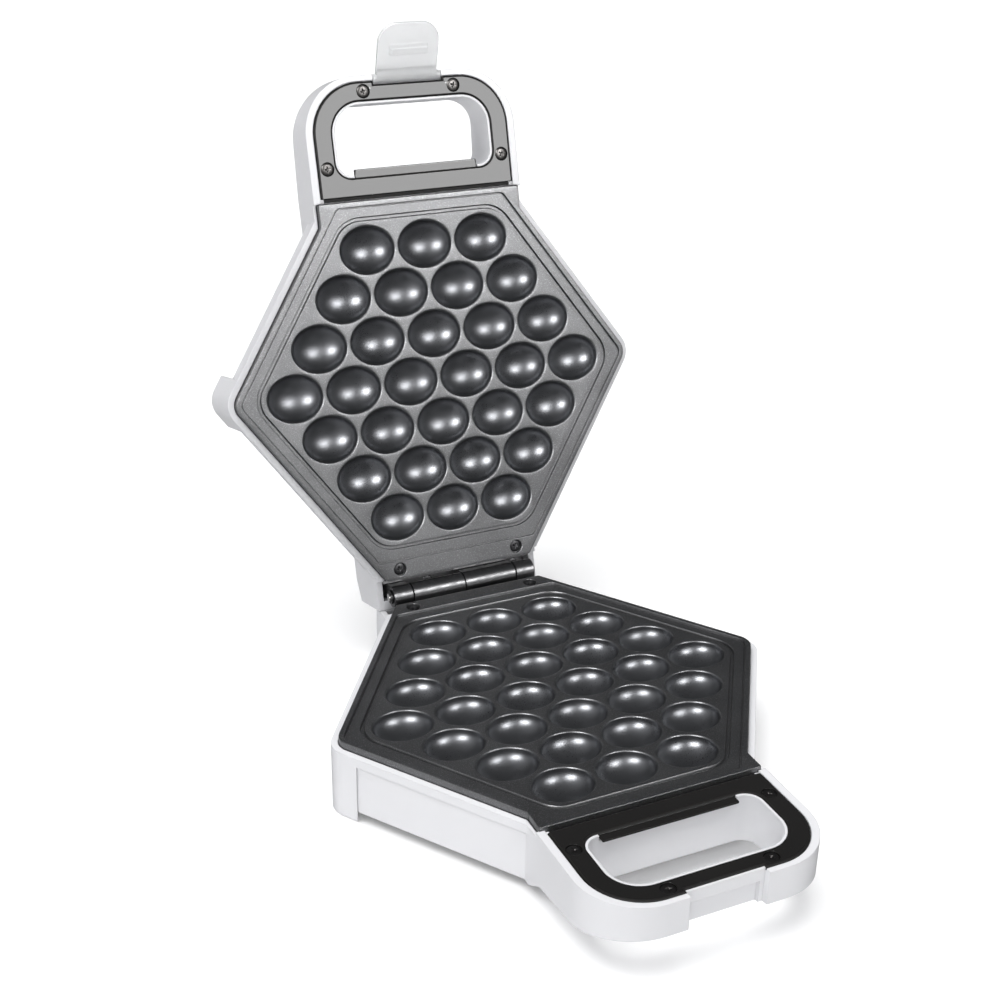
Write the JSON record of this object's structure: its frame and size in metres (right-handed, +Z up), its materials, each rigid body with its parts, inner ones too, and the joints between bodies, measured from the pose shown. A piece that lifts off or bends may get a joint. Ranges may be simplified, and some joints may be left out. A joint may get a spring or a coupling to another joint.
{
  "type": "bubble waffle maker",
  "caption": "Hexagonal electric bubble waffle maker, lid open: cast non-stick plates with egg-shaped bubbles in a pale glossy housing with loop handles and a snap latch.",
  "frame": {"origin": "middle of the overall footprint at rest, on the table", "axes": "+Z up, +X towards the right of a user at the handles, +Y from the handles to the hinge"},
  "size_m": [0.2226, 0.3518, 0.3147],
  "materials": {
    "housing_gloss": "glossy moulded shell",
    "dark_cover": "fine moulded texture",
    "plate_coating": "satin non-stick coating",
    "trim_gloss": "piano gloss",
    "bracket_black": "semi gloss",
    "milky_latch": "milky translucent",
    "screw_steel": "polished cross-head",
    "dark_screw": "blackened",
    "pin_steel": "drawn",
    "foot_rubber": "matt",
    "element_steel": "oxidised sheath",
    "shield_sheet": "bright sheet",
    "block_plastic": "ceramic white",
    "lamp_red": "clear red",
    "lamp_green": "clear green",
    "board_laminate": "phenolic laminate"
  },
  "bodies": {
    "base": {"base_housing": "housing_gloss", "base_bottom_cover": "dark_cover", "bottom_cover_screws": "dark_screw", "rubber_feet": "foot_rubber", "lower_plate": "plate_coating", "lower_plate_screws": "dark_screw", "lower_heating_element": "element_steel", "lower_heat_shield": "shield_sheet", "lower_handle_trim": "trim_gloss", "lower_trim_screws": "screw_steel", "thermostat": "block_plastic", "thermal_fuse": "pin_steel", "terminal_block": "block_plastic", "cord_gland": "dark_cover", "base_hinge_bracket": "bracket_black", "base_hinge_screws": "dark_screw", "hinge_pin": "pin_steel", "pin_retaining_clips": "dark_screw"},
    "lid": {"lid_housing": "housing_gloss", "upper_plate": "plate_coating", "upper_plate_screws": "dark_screw", "upper_heating_element": "element_steel", "upper_heat_shield": "shield_sheet", "upper_handle_trim": "trim_gloss", "upper_trim_screws": "screw_steel", "lid_hinge_bracket": "bracket_black", "lid_hinge_screws": "dark_screw", "power_lamp": "lamp_red", "ready_lamp": "lamp_green", "lamp_board": "board_laminate", "latch_pin": "pin_steel"},
    "latch": {"latch": "milky_latch"}
  },
  "joints": [
    {"name": "lid_hinge", "type": "hinge", "parent": "base", "child": "lid", "pos_m": [0, 0.08632, 0.038], "axis": [1, 0, 0], "range_deg": [0, 106]},
    {"name": "latch_pivot", "type": "hinge", "parent": "lid", "child": "latch", "pos_m": [0, 0.16189, 0.28704], "axis": [1, 0, 0], "range_deg": [-40, 62]}
  ]
}
